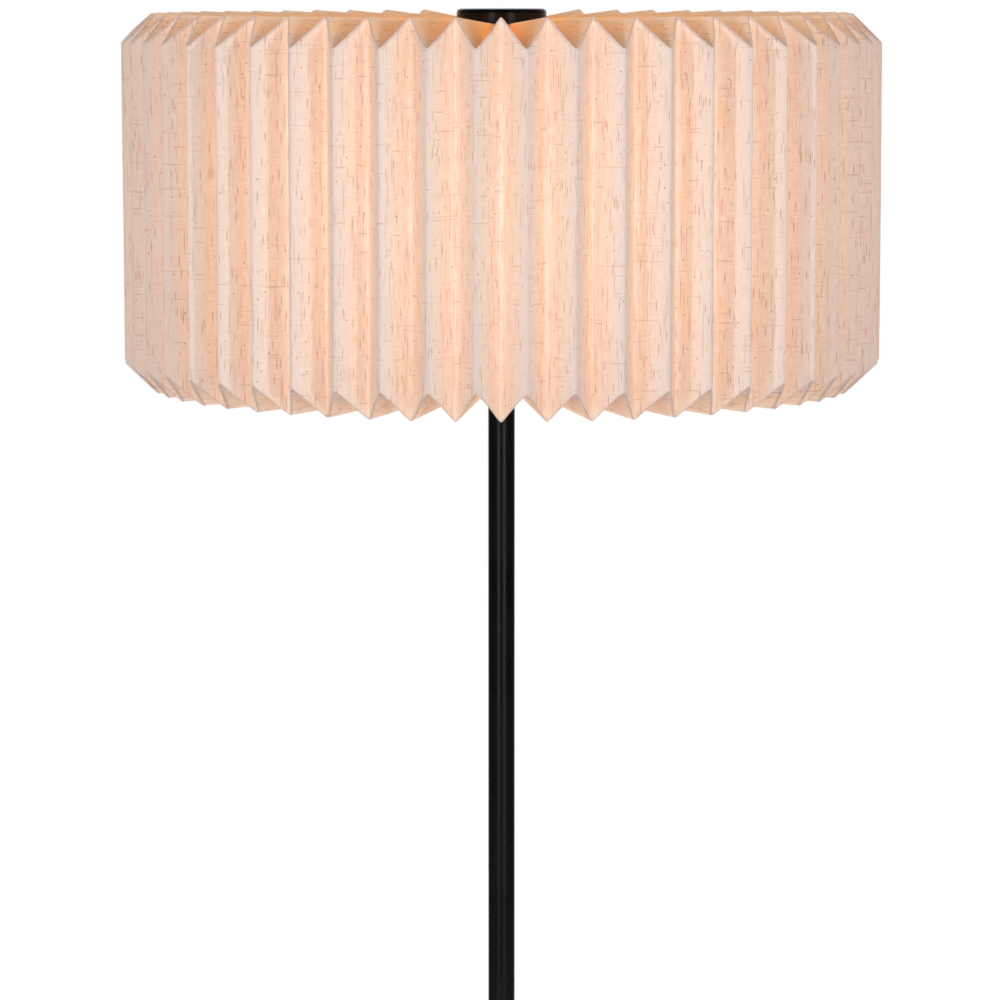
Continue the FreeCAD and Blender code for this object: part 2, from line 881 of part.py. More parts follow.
def harp_pieces():
    """Saddle clamped under the lampholder, wire loop with its boss, two ferrules, stud."""
    foot = dim("harp_foot")
    wire = dim("harp_wire")
    width = dim("saddle_width")
    thick = dim("saddle_thickness")
    half_span = foot + thick / 2
    post_root = dim("saddle_post_root")
    plate = block(
        "saddle_plate",
        half_span * 2,
        width,
        thick,
        at=(-half_span, -width / 2, SADDLE_LEVEL),
    )
    saddle_solids = [plate]
    for name, side in (("left", -1), ("right", 1)):
        arm_x = foot * side - thick / 2
        arm = block(
            f"{name}_saddle_arm",
            thick,
            width,
            dim("saddle_arm_height"),
            at=(arm_x, -width / 2, HOLDER_LEVEL),
        )
        post = cylinder(
            f"{name}_saddle_post",
            wire,
            dim("saddle_post_height") + post_root,
            at=(foot * side, 0, HOLDER_LEVEL + dim("saddle_arm_height") - post_root),
        )
        saddle_solids += [arm, post]
    saddle_blank = fuse("saddle_blank", saddle_solids)
    saddle_hole = cylinder("saddle_hole", NIPPLE_FIT, thick, at=(0, 0, SADDLE_LEVEL))
    saddle = cut("harp_saddle", saddle_blank, saddle_hole)

    joint = (dim("saddle_arm_height") + dim("saddle_post_height")).number
    wire_top = (dim("holder_drop") - dim("harp_top_drop")).number
    foot_x = foot.number
    side_x = dim("harp_half_width").number
    shoulder = joint + dim("harp_foot_length").number
    right_side = [
        Vector(foot_x, 0, joint),
        Vector(foot_x, 0, shoulder),
        Vector(side_x, 0, shoulder + side_x - foot_x),
        Vector(side_x, 0, wire_top),
    ]
    left_side = [Vector(-point.x, 0, point.z) for point in reversed(right_side)]
    shoulder_bend = dim("harp_shoulder_bend").number
    top_bend = dim("harp_top_bend").number
    bends = [shoulder_bend, shoulder_bend, top_bend, top_bend, shoulder_bend, shoulder_bend]
    bar = round_bar(right_side + left_side, bends, wire.number, "harp_loop")
    boss_height = dim("harp_boss_height").number
    boss_foot = Vector(0, 0, wire_top - boss_height / 2)
    boss = Part.makeCylinder(dim("harp_boss_radius").number, boss_height, boss_foot)
    pin_hole = Part.makeCylinder(
        (dim("stud_pin_radius") + dim("fit_gap")).number,
        boss_height,
        boss_foot,
    )
    loop = shaped("harp_loop", bar.fuse(boss).cut(pin_hole).removeSplitter(), HOLDER_LEVEL)

    ferrules = []
    joint_level = HOLDER_LEVEL + dim("saddle_arm_height") + dim("saddle_post_height")
    for name, side in (("left", -1), ("right", 1)):
        ferrule = ring(
            f"harp_ferrule_{name}",
            joint_level - dim("ferrule_overlap"),
            dim("ferrule_radius"),
            wire + dim("fit_gap"),
            dim("ferrule_length"),
        )
        place(ferrule, x=foot * side)
        ferrules.append(ferrule)

    boss_top = SHADE_TOP - dim("harp_top_drop") + dim("harp_boss_height") / 2
    pin_length = dim("harp_boss_height") + dim("fit_gap") * 4
    stud_foot = boss_top - dim("harp_boss_height") - dim("fit_gap") * 2 - dim("stud_rivet_height")
    seat_foot = dim("stud_rivet_height") + pin_length
    seat_top = seat_foot + dim("stud_seat_thickness")
    stud_top = SHADE_TOP - dim("stud_top_drop") - stud_foot
    stud = turned(
        "harp_stud",
        stud_foot,
        [
            (0, 0),
            (dim("stud_rivet_radius"), 0),
            (dim("stud_rivet_radius"), dim("stud_rivet_height")),
            (dim("stud_pin_radius"), dim("stud_rivet_height")),
            (dim("stud_pin_radius"), seat_foot),
            (dim("stud_seat_radius"), seat_foot),
            (dim("stud_seat_radius"), seat_top),
            (dim("stud_radius"), seat_top),
            (dim("stud_radius"), stud_top - dim("stud_bevel")),
            (dim("stud_radius") - dim("stud_bevel"), stud_top),
            (0, stud_top),
        ],
    )
    return [saddle, loop, stud] + ferrules


def pleated_shell():
    """
    The sheet as a closed shell. Four stations run across it, from the hub's hole to the
    upper crease, down the wall to the lower crease, and in to the mouth; at an inner fold
    and at an outer fold they differ, and the folds alternate round the drum.
    """
    folds = 2 * int(dim("pleats").number)
    outer = dim("shade_radius").number
    inner = outer - dim("fold_depth").number
    height = dim("shade_height").number
    crease = dim("crease_drop").number
    hub = dim("hub_hole_radius").number
    mouth = dim("mouth_radius").number
    hub_drop = dim("hub_fold_drop").number
    mouth_level = dim("mouth_rise").number - height
    inner_fold = [(hub, -hub_drop), (inner, 0), (inner, -height), (mouth, mouth_level)]
    outer_fold = [
        (hub, -hub_drop - dim("hub_fold_height").number),
        (outer, -crease),
        (outer, crease - height),
        (mouth, mouth_level + dim("mouth_fold_height").number),
    ]

    half_width = math.pi * (inner + outer) / folds
    steepness = math.hypot(dim("fold_depth").number, half_width) / half_width
    thick = dim("paper_thickness").number * steepness
    hub_thick = dim("hub_edge_thickness").number
    mouth_half_width = math.pi * 2 * mouth / folds
    mouth_thick = thick * (half_width / mouth_half_width)
    inward = [(0, -hub_thick), (-thick, -thick), (-thick, thick), (0, mouth_thick)]

    outside = []
    inside = []
    for fold in range(folds):
        # an inner fold faces the front
        angle = 2 * math.pi * fold / folds - math.pi / 2
        stations = inner_fold if fold % 2 == 0 else outer_fold
        direction = Vector(math.cos(angle), math.sin(angle), 0)
        outside.append([direction * r + UP * z for r, z in stations])
        shifted = [(r + dr, z + dz) for (r, z), (dr, dz) in zip(stations, inward)]
        inside.append([direction * r + UP * z for r, z in shifted])

    def face(*corners):
        return Part.Face(Part.makePolygon(list(corners) + [corners[0]]))

    faces = []
    wall = 1
    last = len(inward) - 1
    for fold in range(folds):
        following = (fold + 1) % folds
        for side in (outside, inside):
            here = side[fold]
            there = side[following]
            for station in range(last):
                if station == wall:
                    faces.append(face(here[1], there[1], there[2], here[2]))
                else:
                    faces.append(face(here[station], there[station], there[station + 1]))
                    faces.append(face(here[station], there[station + 1], here[station + 1]))
        for end in (0, last):
            faces.append(
                face(outside[fold][end], outside[following][end], inside[following][end], inside[fold][end])
            )
    shell = Part.makeShell(faces)
    shell.sewShape()
    solid = Part.makeSolid(shell)
    if solid.Volume < 0:
        solid.reverse()
    print("shade_paper volume", round(solid.Volume))
    return solid


def shade_pieces():
    """Pleated sheet, the hub it is glued to, the hub's lid and the wire ring in the mouth."""
    paper = shaped("shade_paper", pleated_shell(), SHADE_TOP)

    spool_foot = SHADE_TOP - dim("hub_foot_drop")
    flange_top = dim("hub_foot_drop") - dim("hub_flange_drop")
    flange_foot = flange_top - dim("hub_flange_thickness")
    lid_foot = dim("hub_foot_drop") - dim("hub_lid_drop") - dim("hub_lid_thickness")
    cup_radius = dim("hub_radius") - dim("hub_wall")
    cup_floor = flange_foot + dim("hub_floor")
    hub = turned(
        "shade_hub",
        spool_foot,
        [
            (dim("hub_bore"), 0),
            (dim("hub_foot_radius"), 0),
            (dim("hub_foot_radius"), flange_foot),
            (dim("hub_flange_radius"), flange_foot),
            (dim("hub_flange_radius"), flange_top),
            (dim("hub_radius"), flange_top),
            (dim("hub_radius"), lid_foot),
            (cup_radius, lid_foot),
            (cup_radius, cup_floor),
            (dim("hub_core_radius"), cup_floor),
            (dim("hub_core_radius"), lid_foot),
            (dim("hub_bore"), lid_foot),
        ],
    )
    spigot_radius = cup_radius - dim("fit_gap")
    rim_bore = spigot_radius - dim("hub_lid_rim")
    lid = turned(
        "hub_lid",
        SHADE_TOP - dim("hub_lid_drop") - dim("hub_lid_thickness") - dim("hub_lid_spigot"),
        [
            (rim_bore, 0),
            (spigot_radius, 0),
            (spigot_radius, dim("hub_lid_spigot")),
            (dim("hub_lid_radius"), dim("hub_lid_spigot")),
            (dim("hub_lid_radius"), dim("hub_lid_spigot") + dim("hub_lid_thickness")),
            (dim("hub_bore"), dim("hub_lid_spigot") + dim("hub_lid_thickness")),
            (dim("hub_bore"), dim("hub_lid_spigot")),
            (rim_bore, dim("hub_lid_spigot")),
        ],
    )

    mouth_ring = doc.addObject("Part::Torus", "mouth_ring")
    bind(mouth_ring, "Radius1", dim("mouth_radius") - dim("mouth_ring_gap") - dim("mouth_ring_wire"))
    bind(mouth_ring, "Radius2", dim("mouth_ring_wire"))
    place(mouth_ring, z=SHADE_TOP - dim("mouth_ring_drop"))
    return [paper, hub, lid, mouth_ring]


def cap_pieces():
    """Cap with a rounded top edge, its threaded insert, and the washer under it."""
    radius = dim("cap_radius")
    height = dim("cap_height")
    recess = dim("cap_recess_depth")
    pocket = dim("insert_radius") + dim("fit_gap")
    pocket_top = recess + dim("insert_length") + dim("fit_gap") * 4
    cap_level = SHADE_TOP + dim("cap_proud") - height
    cap = turned(
        "cap",
        cap_level,
        [
            (0, pocket_top),
            (pocket, pocket_top),
            (pocket, recess),
            (dim("cap_recess_radius"), recess),
            (dim("cap_recess_radius"), 0),
            (radius, 0),
            (radius, height),
            (0, height),
        ],
    )
    round_edge(cap, "cap_top_edge", "PartDesign::Fillet", dim("cap_edge"), radius, height)
    insert = ring(
        "cap_insert",
        cap_level + recess,
        dim("insert_radius"),
        dim("stud_radius") + dim("fit_gap"),
        dim("insert_length"),
    )
    washer = ring(
        "cap_washer",
        cap_level + recess - dim("fit_gap") * 2 - dim("cap_washer_thickness"),
        dim("cap_washer_radius"),
        dim("cap_washer_hole"),
        dim("cap_washer_thickness"),
    )
    return [cap, insert, washer]


def glass_solid(shrink):
    """Neck, flare and ball of the bulb, turned; shrink draws the outline in by that much."""
    ball = dim("bulb_radius").number - shrink
    centre = dim("bulb_length").number - dim("bulb_radius").number
    neck = dim("bulb_neck_radius").number - shrink
    neck_start = dim("bulb_neck_start").number
    neck_end = dim("bulb_neck_end").number
    reach = math.hypot(neck, centre - neck_end)
    lean = math.asin(ball / reach)
    heading = math.atan2(centre - neck_end, -neck) - lean
    flare = math.sqrt(reach**2 - ball**2)
    touch = Vector(neck + flare * math.cos(heading), 0, neck_end + flare * math.sin(heading))
    flank = bent_path(
        [Vector(neck, 0, neck_start), Vector(neck, 0, neck_end), touch],
        [dim("bulb_neck_bend").number],
    )
    touch_angle = math.atan2(touch.z - centre, touch.x)
    middle_angle = (touch_angle + math.pi / 2) / 2
    middle = Vector(ball * math.cos(middle_angle), 0, centre + ball * math.sin(middle_angle))
    crown = Vector(0, 0, centre + ball)
    foot = Vector(0, 0, neck_start)
    outline = Part.Wire(
        flank.Edges
        + [
            Part.Arc(touch, middle, crown).toShape(),
            Part.LineSegment(crown, foot).toShape(),
            Part.LineSegment(foot, Vector(neck, 0, neck_start)).toShape(),
        ]
    )
    return Part.Face(outline).revolve(Vector(0, 0, 0), UP, 360)


def bulb_pieces():
    """Glass, metal screw cap, insulator, contact, glass stem and the lit filaments."""
    glass = shaped(
        "bulb_glass",
        glass_solid(0).cut(glass_solid(dim("bulb_glass_wall").number)),
        BULB_LEVEL,
    )
    screw_cap = ring(
        "bulb_cap",
        BULB_LEVEL + dim("bulb_cap_start"),
        dim("bulb_cap_radius"),
        dim("bulb_cap_radius") - dim("bulb_cap_wall"),
        dim("bulb_cap_end") - dim("bulb_cap_start"),
    )
    insulator_height = dim("bulb_cap_start") - dim("bulb_insulator_start")
    insulator_top = insulator_height + dim("bulb_insulator_lip")
    lip_radius = dim("bulb_cap_radius") - dim("bulb_cap_wall") - dim("fit_gap")
    insulator = turned(
        "bulb_insulator",
        BULB_LEVEL + dim("bulb_insulator_start"),
        [
            (0, 0),
            (dim("bulb_contact_radius"), 0),
            (dim("bulb_insulator_radius"), insulator_height),
            (lip_radius, insulator_height),
            (lip_radius, insulator_top),
            (0, insulator_top),
        ],
    )
    contact = turned(
        "bulb_contact",
        BULB_LEVEL,
        [
            (0, 0),
            (dim("bulb_contact_radius") - dim("bulb_contact_crown"), 0),
            (dim("bulb_contact_radius"), dim("bulb_insulator_start")),
            (0, dim("bulb_insulator_start")),
        ],
    )

    stem_foot = dim("bulb_stem_foot").number
    filament_base = dim("filament_base").number
    filament_length = dim("filament_length").number
    circle = dim("filament_circle").number
    arm = dim("filament_arm").number
    stem = Part.makeCone(
        dim("bulb_stem_radius").number,
        dim("bulb_stem_tip").number,
        dim("bulb_stem_top").number - stem_foot,
        Vector(0, 0, stem_foot),
    )
    filaments = []
    count = int(dim("filament_count").number)
    for number in range(count):
        angle = 2 * math.pi * (number + 0.5) / count
        outward = Vector(math.cos(angle), math.sin(angle), 0)
        base = outward * circle + UP * filament_base
        tube = Part.makeCylinder(dim("filament_radius").number, filament_length, base)
        filaments.append(shaped(f"filament_{number + 1}", tube, BULB_LEVEL))
        # support arms reach just past the filament's ends, one below and one above
        for level in (filament_base - arm, filament_base + filament_length + arm):
            bar = Part.makeCylinder(arm, circle + arm * 2, UP * level, outward)
            stem = stem.fuse(bar)
    stem_piece = shaped("bulb_stem", stem.removeSplitter(), BULB_LEVEL)
    return [glass, screw_cap, insulator, contact, stem_piece, group("bulb_filaments", filaments)]


nodes = (
    base_pieces()
    + cord_gland()
    + pole_pieces()
    + lead_pieces()
    + holder_pieces()
    + switch_knob()
    + harp_pieces()
    + shade_pieces()
    + cap_pieces()
    + bulb_pieces()
)
doc.recompute()

for item in doc.Objects:
    faults = [state for state in item.State if state in ("Invalid", "Error")]
    assert not faults, f"{item.Label}: {faults}"
for node in nodes:
    shape = node.Shape
    assert not shape.isNull() and shape.isValid() and shape.Solids, f"{node.Label}: bad shape"
    shape.exportStep(f"parts/{node.Label}.step")
print(len(nodes), "nodes written")
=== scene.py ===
import math

import bmesh
import bpy
import numpy as np
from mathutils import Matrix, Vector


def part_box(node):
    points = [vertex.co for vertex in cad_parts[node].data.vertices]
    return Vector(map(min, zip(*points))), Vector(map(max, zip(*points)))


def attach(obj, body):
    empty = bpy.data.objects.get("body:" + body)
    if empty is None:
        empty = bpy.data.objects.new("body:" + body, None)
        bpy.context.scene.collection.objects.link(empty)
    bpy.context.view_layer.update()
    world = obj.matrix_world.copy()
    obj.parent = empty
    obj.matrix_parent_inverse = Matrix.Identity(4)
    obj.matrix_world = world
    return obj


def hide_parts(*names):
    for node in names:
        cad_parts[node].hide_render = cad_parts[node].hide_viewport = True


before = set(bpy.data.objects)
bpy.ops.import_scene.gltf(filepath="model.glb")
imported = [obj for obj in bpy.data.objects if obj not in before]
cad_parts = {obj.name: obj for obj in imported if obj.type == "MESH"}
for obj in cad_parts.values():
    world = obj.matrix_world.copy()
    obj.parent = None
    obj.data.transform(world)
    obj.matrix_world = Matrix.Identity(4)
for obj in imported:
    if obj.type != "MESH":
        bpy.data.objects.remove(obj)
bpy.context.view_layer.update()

# Paper lantern floor lamp, dressed: pleated washi drum, powder coated stand, brass and
# moulded fittings. Metres throughout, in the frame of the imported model.

MM = 0.001
RNG = np.random.default_rng(26)


# ---------------------------------------------------------------- camera

CAMERA_DISTANCE = 2.52818
CAMERA_HEIGHT = 1.52529
CAMERA_PITCH = 0.125396  # radians below the horizon

camera_data = bpy.data.cameras.new("photo_camera")
camera_data.sensor_width = 36
camera_data.lens = 152.62
camera_data.shift_x = -0.0015
camera = bpy.data.objects.new("photo_camera", camera_data)
camera.location = (0, -CAMERA_DISTANCE, CAMERA_HEIGHT)
camera.rotation_euler = (math.pi / 2 - CAMERA_PITCH, 0, 0)
bpy.context.scene.collection.objects.link(camera)
bpy.context.scene.camera = camera
bpy.context.scene.view_settings.view_transform = "Standard"


# ---------------------------------------------------------------- making nodes


def linear(code):
    """Linear RGBA of an sRGB hex colour such as "f4e6d8"."""
    channels = [int(code[i : i + 2], 16) / 255 for i in (0, 2, 4)]
    return [c / 12.92 if c <= 0.04045 else ((c + 0.055) / 1.055) ** 2.4 for c in channels] + [1]


def add(tree, kind, inputs=None, **settings):
    """Adds a shader node with its settings; an input given as a node or socket is linked."""
    made = tree.nodes.new(kind)
    for name, value in settings.items():
        setattr(made, name, value)
    for name, value in (inputs or {}).items():
        if isinstance(value, bpy.types.Node):
            value = value.outputs[0]
        if isinstance(value, bpy.types.NodeSocket):
            tree.links.new(value, made.inputs[name])
        else:
            made.inputs[name].default_value = value
    return made


def worked(tree, operation, first, second, clamped=False):
    """One step of arithmetic on two values."""
    inputs = {0: first, 1: second}
    return add(tree, "ShaderNodeMath", inputs, operation=operation, use_clamp=clamped)


def ranged(tree, value, start, end, at_start, at_end, smooth=False):
    """Turns a value between start and end into one between at_start and at_end."""
    inputs = {"Value": value, 1: start, 2: end, 3: at_start, 4: at_end}
    easing = "SMOOTHSTEP" if smooth else "LINEAR"
    return add(tree, "ShaderNodeMapRange", inputs, interpolation_type=easing)


def mixed(tree, share, first, second):
    """The colour between two, each an sRGB hex or the socket of another colour."""
    inputs = {0: share}
    for socket, colour in ((6, first), (7, second)):
        inputs[socket] = linear(colour) if isinstance(colour, str) else colour
    return add(tree, "ShaderNodeMix", inputs, data_type="RGBA").outputs[2]


def noise(tree, where, size, detail, roughness=0.5, distortion=0, dimensions="3D"):
    """Soft noise whose lumps are about size apart, in the units of where."""
    inputs = {
        "Vector": where,
        "Scale": 1 / size,
        "Detail": detail,
        "Roughness": roughness,
        "Distortion": distortion,
    }
    return add(tree, "ShaderNodeTexNoise", inputs, noise_dimensions=dimensions)


def uneven(tree, pattern, low, high):
    """A value between low and high, over the range in which nearly all of a noise lies."""
    return ranged(tree, pattern, 0.3, 0.7, low, high)


def in_place(tree):
    """Where a point is, in metres."""
    return add(tree, "ShaderNodeTexCoord").outputs["Object"]


def stored(tree, name):
    """A number that the mesh stores for each vertex."""
    return add(tree, "ShaderNodeAttribute", attribute_name=name).outputs["Fac"]


def blank_material(name):
    """A material with an empty node tree, and that tree."""
    material = bpy.data.materials.new(name)
    material.use_nodes = True
    material.node_tree.nodes.clear()
    return material, material.node_tree


def roughened(tree, shader, height, depth):
    """Gives a shader the relief of a height pattern."""
    bump = add(tree, "ShaderNodeBump", {"Height": height, "Distance": depth, "Strength": 1})
    tree.links.new(bump.outputs[0], shader.inputs["Normal"])


def finished(material, tree, shader):
    """Ends a material with its shader."""
    add(tree, "ShaderNodeOutputMaterial", {"Surface": shader})
    return material


# ---------------------------------------------------------------- the paper's finish

# layers of bark slubs: width and length of the cells that hold one each, in mm; share of the
# cells left empty; how far a slub reaches in its cell; darkness
SLUBS = (
    (1.0, 30, 0.78, 0.42, 0.55),
    (1.1, 11, 0.80, 0.42, 0.8),
    (13, 1.2, 0.93, 0.40, 0.55),
    (34, 1.0, 0.95, 0.42, 0.45),
    (2.0, 2.4, 0.96, 0.32, 1),
)
SLUB_CORE = 0.35  # share of a slub's reach that is fully dark


def sheet_place(tree):
    """Place on the flat sheet in mm, drifting by about a millimetre so that no fibre is straight."""
    flat = add(tree, "ShaderNodeUVMap", uv_map="flat_sheet")
    sheet_mm = add(tree, "ShaderNodeVectorMath", {0: flat, "Scale": 1 / MM}, operation="SCALE")
    drift = noise(tree, sheet_mm, 40, 1, dimensions="2D").outputs["Color"]
    centred = add(tree, "ShaderNodeVectorMath", {0: drift, 1: (0.5, 0.5, 0.5)}, operation="SUBTRACT")
    wander = add(tree, "ShaderNodeVectorMath", {0: centred, "Scale": 2.5}, operation="SCALE")
    return add(tree, "ShaderNodeVectorMath", {0: sheet_mm, 1: wander}, operation="ADD")


def stretched(tree, place, across, along):
    """The sheet's place, scaled by across and along the folds to stretch a pattern."""
    return add(tree, "ShaderNodeMapping", {"Vector": place, "Scale": (across, along, 1)})


def slub_pattern(tree, place):
    """Bark slubs, 0 to 1: each layer has a long spot in some of its cells, the darkest wins."""
    slubs = 0
    for width, length, empty, reach, darkness in SLUBS:
        cells = stretched(tree, place, 1 / width, 1 / length)
        spots = add(tree, "ShaderNodeTexVoronoi", {"Vector": cells, "Scale": 1}, voronoi_dimensions="2D")
        spot = ranged(tree, spots.outputs["Distance"], reach, reach * SLUB_CORE, 0, 1)
        chance = add(tree, "ShaderNodeSeparateColor", {"Color": spots.outputs["Color"]})
        chosen = ranged(tree, chance, empty, 1, 0, darkness)
        slubs = worked(tree, "MAXIMUM", slubs, worked(tree, "MULTIPLY", spot, chosen))
    return slubs


def grain_pattern(tree, place):
    """Fine grain: streaks of 0.5 x 9 mm along the folds and 7 x 0.6 mm across them, summed."""
    streaks = []
    for across, along in ((1.9, 0.11), (0.14, 1.6)):
        scaled = stretched(tree, place, across, along)
        streaks.append(noise(tree, scaled, 1, 3, roughness=0.6, dimensions="2D"))
    return worked(tree, "ADD", *streaks)


def painted_crease_shade(tree, fold):
    """Painted shade lines along the outer folds and round both rims, where the creases turn away from the
    light, 0 to 1; distances in mm.
    """
    ridge = ranged(tree, stored(tree, "to_fold"), 2.4, 0.5, 0, 0.75)
    outer_half = worked(tree, "GREATER_THAN", fold, 0.5)
    rim = ranged(tree, stored(tree, "to_edge"), 1.7, 0.6, 0, 1)
    return worked(tree, "MAXIMUM", worked(tree, "MULTIPLY", ridge, outer_half), rim)


def lit_face(tree, fold, crowded, fine_grain, crease_shade, slub_share):
    """
    The face that the room lights: pale, with painted shade that is grey on the creases, a little
    greyer towards the outer folds and tan in the lid's narrow valleys, and with brown slubs.
    """
    colour = mixed(tree, fine_grain, "efe2d8", "fdf8f2")
    # painted shade: grey on the creases
    colour = mixed(tree, crease_shade, colour, "c9bcbe")
    # painted shade: a little greyer towards the outer folds
    colour = mixed(tree, ranged(tree, fold, 0.35, 1, 0, 0.8), colour, "e6d8d0")
    # painted shade and glow: tan in the lid's narrow valleys, more so towards the hub
    colour = mixed(tree, worked(tree, "MULTIPLY", crowded, 1.6, clamped=True), colour, "e2bf96")
    return mixed(tree, slub_share, colour, "b06a40")


def light_through(tree, fold, crowded, fine_grain, veins, cloud, slub_share):
    """The colour that the paper gives the bulb's light: peach in thick pulp, cream in thin, with painted
    glow at the inner folds and on the lid.
    """
    colour = mixed(tree, ranged(tree, veins, 0.36, 0.64, 0, 1), "fbc48e", "fff0d4")
    colour = mixed(tree, fine_grain, "fcc898", colour)
    colour = mixed(tree, cloud, colour, "ffdcb0")
    # painted glow: creamier where an inner fold lies nearest the bulb, but for the thicker veins
    inward = ranged(tree, fold, 0.42, 0.04, 0, 1, smooth=True)
    thin_vein = ranged(tree, veins, 0.38, 0.5, 0.5, 1)
    colour = mixed(tree, worked(tree, "MULTIPLY", inward, thin_vein), colour, "fff6ea")
    colour = mixed(tree, slub_share, colour, "a8582c")
    # painted glow: on the lid the panels crowd together, and the light that crosses several is painted
    # deeper
    return mixed(tree, crowded, colour, "ffcf8c")


def share_through(tree, fold, crowded, crease_shade):
    """
    How much of the paper's look is light from inside, painted by place as glow and shade: most at
    the inner folds, less towards the outer ones and on creases, more on the lid, but less on the
    lid's ridges.
    """
    # painted glow and shade: most light through at the inner folds, less towards the outer ones
    passed = ranged(tree, fold, 0.1, 0.85, 0.52, 0.175, smooth=True)
    on_lid = worked(tree, "GREATER_THAN", crowded, 0.01)
    # painted shade: less light through along the lid's ridges
    lid_ridge_shade = worked(tree, "MULTIPLY", on_lid, ranged(tree, fold, 0.35, 0, 0, 0.55))
    for factor in (
        # painted glow: a brighter line at the inner folds
        ranged(tree, fold, 0.22, 0, 1, 1.3),
        # painted shade: less light through on the creases
        ranged(tree, crease_shade, 0, 1, 1, 0.45),
        # painted glow: more light through on the lid
        ranged(tree, crowded, 0, 1, 1, 1.4),
        worked(tree, "SUBTRACT", 1, lid_ridge_shade),
    ):
        passed = worked(tree, "MULTIPLY", passed, factor)
    return passed


def washi():
    """
    Mulberry paper backed with a fine film: pale and matt where the room lights it, peach
    where the bulb shines through, with glow and shade painted across the pleats and on the lid,
    brown bark slubs along the folds, thinner ones across them, specks, and a laid grain of about
    half a millimetre.
    """
    material, tree = blank_material("washi_paper")
    fold = stored(tree, "fold")
    crowded = stored(tree, "crowded")
    place = sheet_place(tree)
    slubs = slub_pattern(tree, place)
    slub_share = worked(tree, "MULTIPLY", slubs, 0.68)
    grain = grain_pattern(tree, place)
    fine_grain = ranged(tree, grain, 0.8, 1.2, 0, 1)
    # veins where the pulp lies thicker or thinner, 2 x 45 mm along the folds
    veins = noise(tree, stretched(tree, place, 0.5, 0.022), 1, 2, roughness=0.6, dimensions="2D")
    cloud = noise(tree, place, 26, 3, dimensions="2D")
    crease_shade = painted_crease_shade(tree, fold)

    face = lit_face(tree, fold, crowded, fine_grain, crease_shade, slub_share)
    matt = add(
        tree,
        "ShaderNodeBsdfPrincipled",
        {"Base Color": face, "Roughness": 0.85, "Specular IOR Level": 0.2},
    )
    roughened(tree, matt, worked(tree, "ADD", grain, slubs), 0.06 * MM)
    glow = light_through(tree, fold, crowded, fine_grain, veins, cloud, slub_share)
    through = add(tree, "ShaderNodeBsdfTranslucent", {"Color": glow})
    passed = share_through(tree, fold, crowded, crease_shade)
    return finished(material, tree, add(tree, "ShaderNodeMixShader", {0: passed, 1: matt, 2: through}))


# ---------------------------------------------------------------- finishes of the hard pieces


def powder_coat():
    """Satin black powder coat: an orange peel of about 0.7 mm, its gloss uneven over 45 mm."""
    material, tree = blank_material("black_powder_coat")
    where = in_place(tree)
    handled = noise(tree, where, 45 * MM, 3)
    shader = add(
        tree,
        "ShaderNodeBsdfPrincipled",
        {
            "Base Color": mixed(tree, handled, "050505", "0b0b0c"),
            "Roughness": uneven(tree, handled, 0.27, 0.34),
            "Specular IOR Level": 0.42,
        },
    )
    roughened(tree, shader, noise(tree, where, 0.7 * MM, 2), 0.01 * MM)
    return finished(material, tree, shader)


def cast_iron():
    """Sand cast grey iron: grains of about 1 mm, dark and matt, with patches of rust."""
    material, tree = blank_material("sand_cast_iron")
    where = in_place(tree)
    rusted = ranged(tree, noise(tree, where, 22 * MM, 5), 0.56, 0.68, 0, 0.7)
    shader = add(
        tree,
        "ShaderNodeBsdfPrincipled",
        {"Base Color": mixed(tree, rusted, "2c2b2b", "4a3024"), "Roughness": 0.72, "Metallic": 0.3},
    )
    roughened(tree, shader, noise(tree, where, 1.1 * MM, 4), 0.25 * MM)
    return finished(material, tree, shader)


def felt():
    """Pressed wool felt, charcoal: matted tufts of about 0.8 mm with a soft sheen."""
    material, tree = blank_material("pressed_felt")
    where = in_place(tree)
    fibres = noise(tree, where, 0.8 * MM, 6, distortion=2)
    tone = worked(tree, "MULTIPLY", fibres, noise(tree, where, 14 * MM, 4))
    shader = add(
        tree,
        "ShaderNodeBsdfPrincipled",
        {
            "Base Color": mixed(tree, ranged(tree, tone, 0.15, 0.4, 0, 1), "1c1c1e", "3a393b"),
            "Roughness": 1,
            "Sheen Weight": 0.3,
            "Specular IOR Level": 0.1,
        },
    )
    roughened(tree, shader, fibres, 0.3 * MM)
    return finished(material, tree, shader)


def plated_metal(name, dark, light, roughness, turning):
    """
    Turned metal, plain or plated: fine lathe rings spaced by turning, dulled in soft patches.
    """
    material, tree = blank_material(name)
    where = in_place(tree)
    dulled = noise(tree, where, 5 * MM, 4)
    shader = add(
        tree,
        "ShaderNodeBsdfPrincipled",
        {
            "Base Color": mixed(tree, dulled, dark, light),
            "Roughness": uneven(tree, dulled, roughness - 0.06, roughness + 0.08),
            "Metallic": 1,
        },
    )
    # a noise that hardly changes sideways runs round the axis as rings
    rings = add(tree, "ShaderNodeMapping", {"Vector": where, "Scale": (0.02, 0.02, 1)})
    roughened(tree, shader, noise(tree, rings, turning, 2), 0.01 * MM)
    return finished(material, tree, shader)


def moulded(name, dark, light, roughness, grain, depth, gloss=0.5):
    """
    A moulded or dipped part: one colour that drifts softly between dark and light over about
    9 mm, with the mould's fine texture at the size grain.
    """
    material, tree = blank_material(name)
    where = in_place(tree)
    skin = noise(tree, where, grain, 3)
    shader = add(
        tree,
        "ShaderNodeBsdfPrincipled",
        {
            "Base Color": mixed(tree, noise(tree, where, 9 * MM, 3), dark, light),
            "Roughness": uneven(tree, skin, roughness - 0.05, roughness + 0.05),
            "Specular IOR Level": gloss,
        },
    )
    roughened(tree, shader, skin, depth)
    return finished(material, tree, shader)


